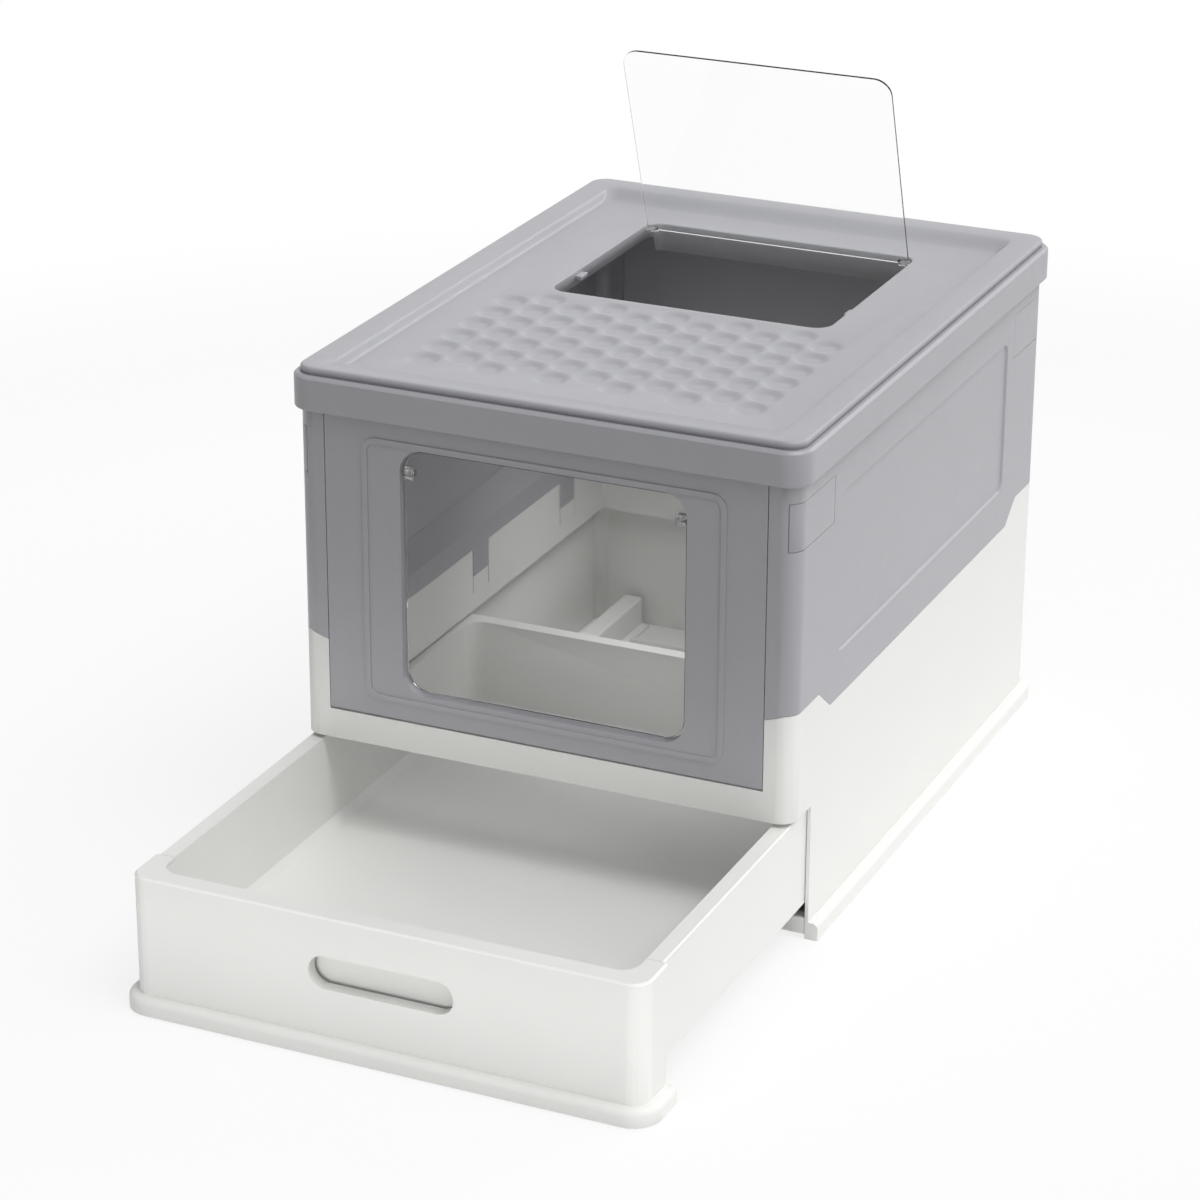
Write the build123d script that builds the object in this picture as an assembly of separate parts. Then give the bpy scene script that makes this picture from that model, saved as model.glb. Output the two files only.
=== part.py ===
from build123d import *
import math
import os

# Drawer litter box: a white base with a pull-out drawer, grey walls that clip
# together above it, a lid with a paw-cleaning field and two clear flaps.
# Origin: on the ground under the centre of the base. +X right, +Y back, +Z up.
# The drawer stands open and the top flap stands up, as at rest.

# ---- overall sizes, in millimetres ----
BODY_W = 375.0          # across the side walls
BODY_D = 506.0          # from the front face to the rear face
PLAN_R = 13.0           # plan radius of the body's corners
WALL = 2.6              # wall of the large mouldings
FIT = 0.3               # gap between mouldings that meet
RUN = 0.05              # radial clearance of a pin in its bore
PAST = 1.0              # how far a cutting shape runs past the face it opens
SINK = 1.0              # how far an added shape starts inside its piece

# ---- plinth around the foot ----
SKIRT_OUT = 7.3         # how far the plinth stands out
SKIRT_H = 13.0          # height of the plinth
SKIRT_ROUND = 4.5       # rounding along its upper edge
GROUND_GAP = 0.8        # drawer front above the ground

# ---- drawer ----
DRAWER_TOP = 100.0      # height of the drawer's rim
DRAWER_OUT = 246.7      # how far it stands open
DRAWER_LEN = 500.7      # fascia face to the tub's rear face
TUB_CLEAR = 0.5         # between the tub and the base's side wall
TUB_SKIN = 2.4          # wall of the tub
TUB_BOTTOM = 28.0       # underside of the tub's floor
RIM_W = 11.9            # width of the tub's hollow rim
BIN_R = 14.0            # plan radius inside the tub
BIN_DRAFT = 2.5         # how much narrower the tub is at its floor, per side
BIN_EDGE = 5.0          # sloped edge where the walls meet the floor
TUB_R = 9.0             # plan radius of the tub's outer skin
TUB_EDGE = 1.0          # broken edge along the tub's rim
FASCIA_EDGE = 1.5       # and along the drawer front's upper edge
FRONT_RIM = 14.9        # fascia face to the inside of the tub
RETURN_LEN = 36.4       # length of the fascia's side returns
HANDLE_W = 106.0        # handle slot, overall
HANDLE_H = 24.2
HANDLE_Z = 59.7
HANDLE_LIP = 9.5        # depth of the collar behind the slot
HANDLE_SKIN = 1.8
FASCIA_RIB_IN = 47.5    # outer ribs, in from the side face
FASCIA_RIB_PITCH = 55.0 # to the next ribs
FASCIA_RIB_UP = 6.0     # ribs above the foot of the drawer front

# ---- base ----
BAY_GAP = 3.0           # between the drawer's rim and the base above it
BEAM_H = 22.2           # front cross-beam
POST_TOP = 183.0        # top of the corner posts
POST_DROP = 4.8         # how much lower a post's top is at the panel's edge
POST_SLOPE_W = 14.0     # width of that slope
SIDE_LOW = 166.3        # top of the side walls between the posts
NOTCH_TOP_Y = 207.0     # where the side wall leaves the post's height
NOTCH_LOW_Y = 185.0     # and where it reaches its low height
POST_W = 21.5           # side face to the post's inner face
LINER_IN = 11.3         # outer face to the inner face of the lined wall
LINER_T = 2.4           # thickness of the lining
LINER_TOP = 153.0       # top of the lining along the sides
LINER_R = 4.0           # plan radius inside the lining
FRONT_LINER = 12.0      # the same depth at the front and rear
FLOOR_T = 2.4           # floor pan
FLOOR_BAR_H = 13.0      # bar along the floor pan's front edge
FLOOR_BAR_Z = 3.0       # underside of that bar
FLOOR_BAR_T = 10.0
FLOOR_BAR_ROUND = 1.5
FLOOR_RIB_PITCH = 95.0
FLOOR_RIB_H = 6.0
RIB_T = 2.0             # ribs and webs
RIB_SINK = 0.5          # how far a rib stands in its floor

# ---- drawer runners ----
RUNNER_IN = 37.5        # side face to the middle of a runner
RUNNER_W = 16.0
RUNNER_ROUND = 2.0
RUNNER_WEB_PITCH = 78.0
RUNNER_T = 2.4
RUNNER_FOOT = 7.0
RUNNER_MARGIN = 6.0     # runner end to the wall behind it

# ---- grey walls ----
PANEL_GAP = 0.6         # seam beside the front and rear panels
PANEL_TOP = 357.0       # top of the front and rear panels, inside the lid's rim
SIDE_TOP = 371.7        # top of the side panels, which carry the lid
HINGE_R = 2.6           # rounded foot of the front and rear panels
PIN_R = 1.5             # their hinge pins
PIN_IN_PANEL = 15.0
PIN_IN_POST = 6.0
PANEL_FLANGE = 5.4      # stiffening flange on the panels' inner edges
FLANGE_START = 20.0     # above the hinge
FIELD_Y = 173.3         # side panel's sunk field
FIELD_LOW = 199.6
FIELD_HIGH = 319.4
FIELD_R = 8.0
FIELD_DEPTH = 1.5
FIELD_SLOPE = 2.0       # run of the field's sloped edge
FIELD_PAD = 1.4         # wall kept behind the field
APRON_H = 40.0          # thick lower edge of the side panels
TAB_W = 26.0            # snap tabs of the side panels
TAB_H = 22.0
TAB_FRONT_IN = 40.0     # front notch to the middle of the first tab
TAB_REAR_IN = 14.0      # middle of the last tab to the rear notch
TAB_COUNT = 3
TAB_SIDE = 1.0          # gap beside a tab
SLIT_W = 1.2            # slits that let the lining flex below a tab
SLIT_H = 14.0

# ---- corner clips ----
CLIP_LOW = 302.0
CLIP_H = 34.0
CLIP_LEN = 66.0         # along the side wall
CLIP_WRAP = 7.5         # round the corner onto the front or rear
CLIP_T = 1.3
CLIP_SEAM = 0.35
CLIP_PAD = 1.6          # moulding kept behind the clip
CLIP_LEG = 10.0         # snap leg through the wall
CLIP_LEG_H = 12.0
CLIP_HOOK = 3.0         # length of the leg's hook
CLIP_HOOK_UP = 2.0      # how far the hook stands above the leg
CLIP_BACK = 0.15        # gap behind a clip

# ---- front door ----
DOOR_W = 215.0
DOOR_LOW = 148.0
DOOR_HIGH = 331.0
DOOR_R = 17.0
COLLAR_D = 10.0         # depth of the collar around the doorway
COLLAR_T = 2.4
BEAD_W = 4.0            # raised bead around the doorway
BEAD_UP = 1.0
BEAD_HALF = 136.5
BEAD_LOW = 139.5
BEAD_HIGH = 336.0
BEAD_R = 11.0
DOOR_GAP = 2.0          # around the clear flap
FLAP_T = 2.0            # both clear flaps
FLAP_DROP = 18.0        # doorway's top down to the flap's pivot
FLAP_PIN_R = 1.4
KNUCKLE_R = 2.4
KNUCKLE_L = 8.0
KNUCKLE_END = 2.0       # closed end of a knuckle
PIVOT_BITE = 2.0        # how far a flap's pin reaches into the wall

# ---- rear panel ----
REAR_FIELD_HALF = 132.0
REAR_FIELD_LOW = 152.0
REAR_FIELD_HIGH = 330.0

# ---- lid ----
RIM_OUT = 5.4           # how far the lid's rim stands out from the walls
RIM_DROP = 25.4         # height of the rim
LEDGE_T = 2.6           # inner ledge that carries the lid plate
LEDGE_W = 12.9
RIM_ROUND = 2.0
PLATE_INSET = 4.7       # groove between the rim and the raised plate
PLATE_UP = 5.4          # plate above the rim
BORDER_SIDE = 19.7      # raised border of the plate
BORDER_FRONT = 17.9
BORDER_REAR = 18.0
BASIN_DEPTH = 7.0       # sunk middle of the plate
SLOPE_SIDE = 5.0
SLOPE_REAR = 20.0
SLOPE_FRONT = 0.5
BASIN_R = 6.0           # plan radius of the sunk middle
PLATE_ROUND = 2.2
HATCH_HALF = 109.4      # lid opening
HATCH_FRONT = -7.0
HATCH_REAR = 180.8
HATCH_R = 13.0
LIP_T = 2.4
LIP_H = 11.0
REAR_LIP_H = 22.0
STOP_Y = 46.0
STOP_W = 12.0
STOP_OUT = 4.9
STOP_H = 3.0
DIMPLE_PITCH = 28.4
DIMPLE_COLUMNS = 11
DIMPLE_ROWS = 6
DIMPLE_REAR = -28.6     # centre of the rearmost dimples
DIMPLE_R = 13.0
DIMPLE_DEPTH = 1.6
DIMPLE_SIDES = 6
DIMPLE_FOOT = 0.45      # flat foot of a dimple against its mouth

# ---- top flap ----
HATCH_PIVOT_Y = 170.0
HATCH_FLAP_L = 162.7    # pivot to free edge
HATCH_FLAP_R = 13.2
HATCH_SIDE = 2.4        # gap beside the flap
HATCH_OPEN = 71.0       # degrees that it stands open

# ---- what follows from them ----
HALF_W = BODY_W / 2
HALF_D = BODY_D / 2
SEAM_X = HALF_W - POST_W
RUNNER_X = HALF_W - RUNNER_IN
FAR_UP = 2 * SIDE_TOP   # above every piece
INNER_R = PLAN_R - WALL
BAY_H = DRAWER_TOP + BAY_GAP
BEAM_TOP = BAY_H + BEAM_H
HINGE_Z = BEAM_TOP + FIT + HINGE_R
HINGE_Y = HALF_D - WALL
PANEL_HALF = SEAM_X - PANEL_GAP
BAY_Y = -HALF_D + RETURN_LEN + FIT
DRAWER_FRONT = -HALF_D - DRAWER_OUT
TUB_REAR = DRAWER_FRONT + DRAWER_LEN
TUB_HALF = HALF_W - WALL - TUB_CLEAR
BIN_HALF = TUB_HALF - RIM_W
BIN_FRONT = DRAWER_FRONT + FRONT_RIM
BIN_REAR = TUB_REAR - RIM_W
BIN_FLOOR = TUB_BOTTOM + TUB_SKIN
TUB_FRONT = BIN_FRONT - TUB_SKIN
RIM_BOTTOM = SIDE_TOP + FIT + LEDGE_T - RIM_DROP
RIM_TOP = RIM_BOTTOM + RIM_DROP
PLATE_TOP = RIM_TOP + PLATE_UP
BASIN_Z = PLATE_TOP - BASIN_DEPTH
PLATE_W = BODY_W + 2 * RIM_OUT - 2 * PLATE_INSET
PLATE_D = BODY_D + 2 * RIM_OUT - 2 * PLATE_INSET
PLATE_R = PLAN_R + RIM_OUT - PLATE_INSET
HATCH_PIVOT_Z = BASIN_Z - FLAP_T
HATCH_FLAP_HALF = HATCH_HALF - HATCH_SIDE
DOOR_MID = (DOOR_LOW + DOOR_HIGH) / 2
DOOR_PIVOT_Z = DOOR_HIGH - FLAP_DROP
DOOR_PIVOT_Y = -HALF_D + COLLAR_D / 2
DOOR_FLAP_HALF = DOOR_W / 2 - DOOR_GAP


# ---- shapes used throughout ----
def block(x0, x1, y0, y1, z0, z1):
    """A box between two corners."""
    middle = Pos((x0 + x1) / 2, (y0 + y1) / 2, (z0 + z1) / 2)
    return middle * Box(abs(x1 - x0), abs(y1 - y0), abs(z1 - z0))


def slab(x0, x1, y0, y1, z0, z1, radius):
    """An upright block with rounded plan corners."""
    outline = RectangleRounded(x1 - x0, y1 - y0, radius)
    return Pos((x0 + x1) / 2, (y0 + y1) / 2, z0) * extrude(outline, z1 - z0)


def body_slab(offset, z0, z1):
    """The body's plan, grown by an offset."""
    return slab(
        -HALF_W - offset, HALF_W + offset, -HALF_D - offset, HALF_D + offset,
        z0, z1, PLAN_R + offset,
    )


def rod(x0, x1, y, z, radius):
    """A round bar along X."""
    return Pos((x0 + x1) / 2, y, z) * Rot(0, 90, 0) * Cylinder(radius, abs(x1 - x0))


def wall_shape(outline, y0, y1, z):
    """An outline drawn on an upright plane, extruded along Y."""
    plane = Plane(origin=(0, y0, z), x_dir=(1, 0, 0), z_dir=(0, 1, 0))
    return extrude(plane * outline, y1 - y0)


def side_shape(points, x0, x1, radius=0):
    """A polygon in Y and Z, extruded along X."""
    outline = make_face(Polyline(*points, close=True))
    if radius:
        outline = fillet(outline.vertices(), radius)
    plane = Plane(origin=(x0, 0, 0), x_dir=(0, 1, 0), z_dir=(1, 0, 0))
    return extrude(plane * outline, x1 - x0)


def front_shape(points, y0, y1):
    """A polygon in X and Z, extruded along Y."""
    outline = make_face(Polyline(*[(x, -z) for x, z in points], close=True))
    return wall_shape(outline, y0, y1, 0)


def mirrored(shape):
    """The same shape on the left."""
    return mirror(shape, about=Plane.YZ)


def both_sides(shape):
    """A shape on the right and its copy on the left."""
    return [shape, mirrored(shape)]


def skirt(x0, x1, y0, y1, z0, radius):
    """Plinth with a soft upper edge, around a plan outline."""
    ring = slab(
        x0 - SKIRT_OUT, x1 + SKIRT_OUT, y0 - SKIRT_OUT, y1 + SKIRT_OUT,
        z0, SKIRT_H, radius + SKIRT_OUT,
    )
    return fillet(ring.edges().group_by(Axis.Z)[-1], SKIRT_ROUND)


# ---- outline where the grey side panels meet the white base ----
def above_base(gap):
    """All space above the base's upper outline, raised by a gap."""
    top = FAR_UP
    run = NOTCH_TOP_Y - NOTCH_LOW_Y
    rise = POST_TOP - SIDE_LOW
    slope = run / rise
    reach = NOTCH_LOW_Y + slope * (top - SIDE_LOW)
    low = SIDE_LOW + gap
    high = POST_TOP + gap
    notch = side_shape(
        [(-NOTCH_LOW_Y, low), (NOTCH_LOW_Y, low), (reach, top), (-reach, top)],
        -BODY_W, BODY_W,
    )
    space = notch + block(-BODY_W, BODY_W, -BODY_D, BODY_D, high, top)
    slope_x = SEAM_X + POST_SLOPE_W
    wedge = [(SEAM_X - PAST, high - POST_DROP), (slope_x, high),
             (slope_x, high + PAST), (SEAM_X - PAST, high + PAST)]
    for end in (-1, 1):
        near = end * (HALF_D - 2 * PLAN_R)
        far = end * (HALF_D + PAST)
        for shape in both_sides(front_shape(wedge, min(near, far), max(near, far))):
            space += shape
    return space


def tab_centres():
    """Places of the side panels' snap tabs along Y."""
    first = -NOTCH_LOW_Y + TAB_FRONT_IN
    last = NOTCH_LOW_Y - TAB_REAR_IN
    return [first + (last - first) * i / (TAB_COUNT - 1) for i in range(TAB_COUNT)]


def places(start, end, pitch):
    """Places between two ends, evenly spaced at about a pitch."""
    count = round((end - start) / pitch)
    return [start + (end - start) * (i + 0.5) / count for i in range(count)]


# ---- base ----
def base_shell():
    """White shell: lined walls, corner posts, front beam, plinth, drawer bay."""
    shell = body_slab(0, 0, POST_TOP)
    shell += skirt(-HALF_W, HALF_W, -HALF_D, HALF_D, 0, PLAN_R)
    shell -= body_slab(-WALL, -PAST, BAY_H)
    liner_x = HALF_W - LINER_IN
    liner_y = HALF_D - FRONT_LINER
    room = slab(-liner_x, liner_x, -liner_y, liner_y, BAY_H - PAST, POST_TOP + PAST, LINER_R)
    shell -= room
    lining = slab(
        -liner_x - LINER_T, liner_x + LINER_T, -liner_y - LINER_T, liner_y + LINER_T,
        BAY_H, POST_TOP + 2 * PAST, LINER_R + LINER_T,
    )
    shell -= body_slab(-WALL, BAY_H + WALL, POST_TOP + PAST) - lining
    shell -= block(-BODY_W, BODY_W, -BODY_D, BAY_Y, -PAST, BAY_H)
    shell -= above_base(0)
    reach = liner_x + LINER_T + FIT
    shell -= block(-reach, reach, -NOTCH_LOW_Y, NOTCH_LOW_Y, LINER_TOP, POST_TOP + PAST)
    for end in (-1, 1):
        low, high = sorted((end * (HALF_D + PAST), end * (liner_y - PAST)))
        shell -= block(-SEAM_X, SEAM_X, low, high, BEAM_TOP, POST_TOP + PAST)
        shell += both_sides(post_cheek(end))
        shell -= both_sides(post_bore(end))
    for y in tab_centres():
        shell -= both_sides(tab_window(y))
    return shell


def post_cheek(end):
    """Inner cheek of a corner post, with a boss for a panel's hinge pin."""
    outer = end * (HALF_D - WALL / 2)
    inner = end * (HALF_D - FRONT_LINER)
    low, high = min(outer, inner), max(outer, inner)
    cheek = block(SEAM_X, SEAM_X + WALL, low, high, BAY_H, POST_TOP - POST_DROP)
    boss_end = SEAM_X + PIN_IN_POST + WALL
    return cheek + block(SEAM_X, boss_end, low, high, BEAM_TOP - 2 * SINK, HINGE_Z + 2 * HINGE_R)


def post_bore(end):
    """Bore of a panel's hinge pin in a post."""
    deep = SEAM_X + PIN_IN_POST + RUN
    return rod(SEAM_X - PAST, deep, end * HINGE_Y, HINGE_Z, PIN_R + RUN)


def tab_window(y):
    """Notch in the side lining for a snap tab, with a slit at each side."""
    x0 = HALF_W - LINER_IN - PAST
    x1 = HALF_W - LINER_IN + LINER_T + PAST
    half = TAB_W / 2 + TAB_SIDE
    low = LINER_TOP - TAB_H - FIT
    window = block(x0, x1, y - half, y + half, low, LINER_TOP + PAST)
    for side in (-1, 1):
        edge = y + side * half
        window += block(x0, x1, edge, edge - side * SLIT_W, low - SLIT_H, low + PAST)
    return window


def base_floor():
    """Ribbed floor pan with a raised bar along its front edge."""
    half = HALF_W - WALL - TUB_CLEAR
    rear = HALF_D - WALL - TUB_CLEAR
    front = BAY_Y + FIT
    pan = slab(-half, half, front + FLOOR_BAR_T, rear, 0, FLOOR_T, INNER_R - TUB_CLEAR)
    pan += block(-half, half, front + FLOOR_BAR_T - SINK, 0, 0, FLOOR_T)
    bar_top = FLOOR_BAR_Z + FLOOR_BAR_H
    bar = block(-half, half, front, front + FLOOR_BAR_T, FLOOR_BAR_Z, bar_top)
    bar = fillet(bar.edges().filter_by(Axis.X), FLOOR_BAR_ROUND)
    hollow = block(-half + WALL, half - WALL, front + WALL, front + FLOOR_BAR_T + PAST,
                   FLOOR_T, bar_top - WALL)
    pan += bar - hollow
    pan += block(-half, half, front + FLOOR_BAR_T - WALL, front + FLOOR_BAR_T, 0, bar_top - WALL)
    rib_half = RUNNER_X - RUNNER_W
    for y in places(front, rear, FLOOR_RIB_PITCH):
        pan += block(-rib_half, rib_half, y - RIB_T / 2, y + RIB_T / 2,
                     FLOOR_T - RIB_SINK, FLOOR_T + FLOOR_RIB_H)
    return pan


def runner():
    """Hat-section rail under one side of the drawer."""
    top = TUB_BOTTOM - FIT
    half = RUNNER_W / 2
    y0 = BAY_Y + 2 * FIT + FLOOR_BAR_T
    y1 = HALF_D - WALL - RUNNER_MARGIN
    base = FLOOR_T
    rail = block(RUNNER_X - half, RUNNER_X + half, y0, y1, base, top)
    rail = fillet(rail.edges().filter_by(Axis.Y).group_by(Axis.Z)[-1], RUNNER_ROUND)
    inner = half - RUNNER_T
    rail -= block(RUNNER_X - inner, RUNNER_X + inner, y0 - PAST, y1 + PAST, base - PAST, top - RUNNER_T)
    foot = half + RUNNER_FOOT
    rail += block(RUNNER_X - foot, RUNNER_X - inner, y0, y1, base, base + RUNNER_T)
    rail += block(RUNNER_X + inner, RUNNER_X + foot, y0, y1, base, base + RUNNER_T)
    web = inner + SINK
    for y in places(y0, y1, RUNNER_WEB_PITCH):
        rail += block(RUNNER_X - web, RUNNER_X + web, y - RIB_T / 2, y + RIB_T / 2,
                      base, top - RUNNER_T / 2)
    return rail


# ---- drawer ----
def bin_space(top):
    """Hollow of the tub, narrower at its floor."""
    width = 2 * BIN_HALF
    length = BIN_REAR - BIN_FRONT
    middle = (BIN_REAR + BIN_FRONT) / 2
    narrow = 2 * BIN_DRAFT
    low = Pos(0, middle, BIN_FLOOR) * RectangleRounded(width - narrow, length - narrow, BIN_R - BIN_DRAFT)
    high = Pos(0, middle, top) * RectangleRounded(width, length, BIN_R)
    space = loft([low, high])
    return chamfer(space.edges().group_by(Axis.Z)[0], BIN_EDGE)


def drawer_tub():
    """Tub with a hollow rim: inner bin, flat rim and outer skin."""
    tub = slab(-TUB_HALF, TUB_HALF, TUB_FRONT, TUB_REAR, TUB_BOTTOM, DRAWER_TOP, TUB_R)
    tub = chamfer(tub.edges().group_by(Axis.Z)[-1], TUB_EDGE)
    tub -= bin_space(DRAWER_TOP)
    hollow = slab(
        -TUB_HALF + TUB_SKIN, TUB_HALF - TUB_SKIN, TUB_FRONT - PAST, TUB_REAR - TUB_SKIN,
        TUB_BOTTOM - PAST, DRAWER_TOP - TUB_SKIN, TUB_R - TUB_SKIN,
    )
    kept = slab(
        -BIN_HALF - TUB_SKIN, BIN_HALF + TUB_SKIN, TUB_FRONT - 2 * PAST, BIN_REAR + TUB_SKIN,
        TUB_BOTTOM - 2 * PAST, DRAWER_TOP, BIN_R + TUB_SKIN,
    )
    tub -= hollow - kept
    cap_end = DRAWER_FRONT + RETURN_LEN + FIT
    tub -= block(-BODY_W, BODY_W, TUB_FRONT - PAST, cap_end, DRAWER_TOP - WALL - FIT, DRAWER_TOP + PAST)
    return tub


def drawer_fascia():
    """Drawer front with side returns, a rim over the tub and a handle slot."""
    end = DRAWER_FRONT + RETURN_LEN
    far = DRAWER_FRONT + 4 * RETURN_LEN
    fascia = slab(-HALF_W, HALF_W, DRAWER_FRONT, far, GROUND_GAP, DRAWER_TOP, PLAN_R)
    fascia = chamfer(fascia.edges().group_by(Axis.Z)[-1], FASCIA_EDGE)
    fascia += skirt(-HALF_W, HALF_W, DRAWER_FRONT, far, GROUND_GAP, PLAN_R)
    fascia -= slab(
        -HALF_W + WALL, HALF_W - WALL, DRAWER_FRONT + WALL, far - WALL,
        -PAST, DRAWER_TOP - WALL, INNER_R,
    )
    fascia -= block(-BODY_W, BODY_W, end, far + 2 * SKIRT_OUT, -PAST, DRAWER_TOP + PAST)
    mouth = slab(-BIN_HALF, BIN_HALF, BIN_FRONT, far,
                 DRAWER_TOP - WALL - PAST, DRAWER_TOP + PAST, BIN_R)
    fascia -= mouth
    slot = SlotOverall(HANDLE_W, HANDLE_H)
    collar = SlotOverall(HANDLE_W + 2 * HANDLE_SKIN, HANDLE_H + 2 * HANDLE_SKIN)
    fascia += wall_shape(collar, DRAWER_FRONT + SINK, DRAWER_FRONT + HANDLE_LIP, HANDLE_Z)
    fascia -= wall_shape(slot, DRAWER_FRONT - PAST, DRAWER_FRONT + HANDLE_LIP + PAST, HANDLE_Z)
    rib_end = TUB_FRONT - FIT
    outer = HALF_W - FASCIA_RIB_IN
    for x in (outer, outer - FASCIA_RIB_PITCH):
        rib = block(x - RIB_T / 2, x + RIB_T / 2, DRAWER_FRONT + SINK, rib_end,
                    GROUND_GAP + FASCIA_RIB_UP, DRAWER_TOP - WALL)
        for shape in both_sides(rib):
            fascia += shape
    return fascia


# ---- grey walls ----
def upright_panel():
    """Panel between two posts, with a rounded foot that turns on pins."""
    wall = block(-PANEL_HALF, PANEL_HALF, -HALF_D, -HINGE_Y, HINGE_Z, PANEL_TOP)
    wall += rod(-PANEL_HALF, PANEL_HALF, -HINGE_Y, HINGE_Z, HINGE_R)
    flange = block(PANEL_HALF - WALL, PANEL_HALF, -HALF_D + SINK, -HINGE_Y + PANEL_FLANGE,
                   HINGE_Z + FLANGE_START, PANEL_TOP)
    for shape in both_sides(flange):
        wall += shape
    bore = rod(PANEL_HALF - PIN_IN_PANEL, PANEL_HALF + PAST, -HINGE_Y, HINGE_Z, PIN_R + RUN)
    for shape in both_sides(bore):
        wall -= shape
    return wall


def front_panel():
    """Front panel with the doorway, its collar and a raised bead around it."""
    panel = upright_panel()
    height = DOOR_HIGH - DOOR_LOW
    doorway = RectangleRounded(DOOR_W, height, DOOR_R)
    collar = RectangleRounded(DOOR_W + 2 * COLLAR_T, height + 2 * COLLAR_T, DOOR_R + COLLAR_T)
    bead_h = BEAD_HIGH - BEAD_LOW
    bead_z = (BEAD_HIGH + BEAD_LOW) / 2
    bead = RectangleRounded(2 * BEAD_HALF, bead_h, BEAD_R)
    bead -= RectangleRounded(2 * (BEAD_HALF - BEAD_W), bead_h - 2 * BEAD_W, BEAD_R - BEAD_W)
    panel += wall_shape(bead, -HALF_D - BEAD_UP, -HALF_D + SINK, bead_z)
    panel += wall_shape(collar, -HALF_D + SINK, -HALF_D + COLLAR_D, DOOR_MID)
    panel -= wall_shape(doorway, -HALF_D - PAST, -HALF_D + COLLAR_D + PAST, DOOR_MID)
    reach = DOOR_W / 2 + PIVOT_BITE + RUN
    bore = rod(DOOR_W / 2 - PAST, reach, DOOR_PIVOT_Y, DOOR_PIVOT_Z, FLAP_PIN_R + RUN)
    for shape in both_sides(bore):
        panel -= shape
    return panel


def rear_panel():
    """Plain rear panel with a sunk field."""
    panel = upright_panel()
    width = 2 * REAR_FIELD_HALF
    height = REAR_FIELD_HIGH - REAR_FIELD_LOW
    middle = (REAR_FIELD_HIGH + REAR_FIELD_LOW) / 2
    back = RectangleRounded(width + 2 * WALL, height + 2 * WALL, FIELD_R + WALL)
    panel += wall_shape(back, -HINGE_Y - SINK, -HINGE_Y + FIELD_PAD, middle)
    field = RectangleRounded(width, height, FIELD_R)
    panel -= wall_shape(field, -HALF_D - PAST, -HALF_D + FIELD_DEPTH, middle)
    return Rot(0, 0, 180) * panel


def panel_pins(end):
    """Two pins that hold a panel's foot between the posts."""
    pin = rod(PANEL_HALF - PIN_IN_PANEL + RUN, SEAM_X + PIN_IN_POST, end * HINGE_Y, HINGE_Z, PIN_R)
    return Compound(both_sides(pin))


def clip_zone(end, grow, inner, outer):
    """Part of the wall's thickness at a top corner, between two depths."""
    shape = body_slab(-inner, CLIP_LOW - grow, CLIP_LOW + CLIP_H + grow)
    below = CLIP_LOW - CLIP_H
    above = CLIP_LOW + 2 * CLIP_H
    shape -= body_slab(-outer, below, above)
    edge_x = HALF_W - CLIP_WRAP - grow
    edge_y = HALF_D - CLIP_LEN - grow
    near, far = end * edge_y, end * (HALF_D + 2 * PAST)
    return shape & block(edge_x, HALF_W + 2 * PAST, min(near, far), max(near, far), below, above)


def clip_leg(end, grow):
    """Snap leg of a corner clip, through the wall."""
    y = end * (HALF_D - CLIP_LEN / 2)
    half_y = CLIP_LEG / 2 + grow
    half_z = CLIP_LEG_H / 2 + grow
    z = CLIP_LOW + CLIP_H / 2
    return block(HALF_W - WALL - CLIP_PAD - CLIP_HOOK - grow, HALF_W - CLIP_T / 2,
                 y - half_y, y + half_y, z - half_z, z + half_z)


def corner_clip(end):
    """Flush plate that wraps a top corner and snaps through the side panel."""
    clip = clip_zone(end, 0, 0, CLIP_T)
    clip += clip_leg(end, 0)
    y = end * (HALF_D - CLIP_LEN / 2)
    z = CLIP_LOW + CLIP_H / 2 + CLIP_LEG_H / 2
    x0 = HALF_W - WALL - CLIP_PAD - CLIP_HOOK
    hook = block(x0, x0 + CLIP_HOOK - FIT, y - CLIP_LEG / 2, y + CLIP_LEG / 2,
                 z - SINK, z + CLIP_HOOK_UP)
    return clip + hook


def side_panel():
    """Right side panel: returns round both corners, sunk field, snap tabs."""
    panel = body_slab(0, SIDE_LOW, SIDE_TOP)
    panel -= body_slab(-WALL, SIDE_LOW - PAST, SIDE_TOP + PAST)
    panel &= block(SEAM_X, HALF_W + PAST, -BODY_D, BODY_D, SIDE_LOW, SIDE_TOP)
    panel &= above_base(FIT)
    for end in (-1, 1):
        panel += clip_zone(end, CLIP_PAD, WALL - SINK, WALL + CLIP_PAD)
        panel -= clip_zone(end, CLIP_SEAM, -PAST, CLIP_T + CLIP_BACK)
        panel -= clip_leg(end, CLIP_SEAM)
    panel += side_apron()
    x_in = HALF_W - WALL
    field_h = FIELD_HIGH - FIELD_LOW
    panel += side_plate(2 * FIELD_Y + 2 * WALL, field_h + 2 * WALL, FIELD_R,
                        x_in - FIELD_PAD, x_in + SINK / 2)
    low = Plane(origin=(HALF_W + PAST / 2, 0, 0), x_dir=(0, 1, 0), z_dir=(1, 0, 0))
    deep = Plane(origin=(HALF_W - FIELD_DEPTH, 0, 0), x_dir=(0, 1, 0), z_dir=(1, 0, 0))
    middle = (FIELD_HIGH + FIELD_LOW) / 2
    wide = Pos(0, middle) * RectangleRounded(2 * FIELD_Y, field_h, FIELD_R)
    foot_w = 2 * (FIELD_Y - FIELD_SLOPE)
    foot_h = field_h - 2 * FIELD_SLOPE
    tight = Pos(0, middle) * RectangleRounded(foot_w, foot_h, FIELD_R - FIELD_SLOPE)
    panel -= loft([deep * tight, low * wide])
    return panel


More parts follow.
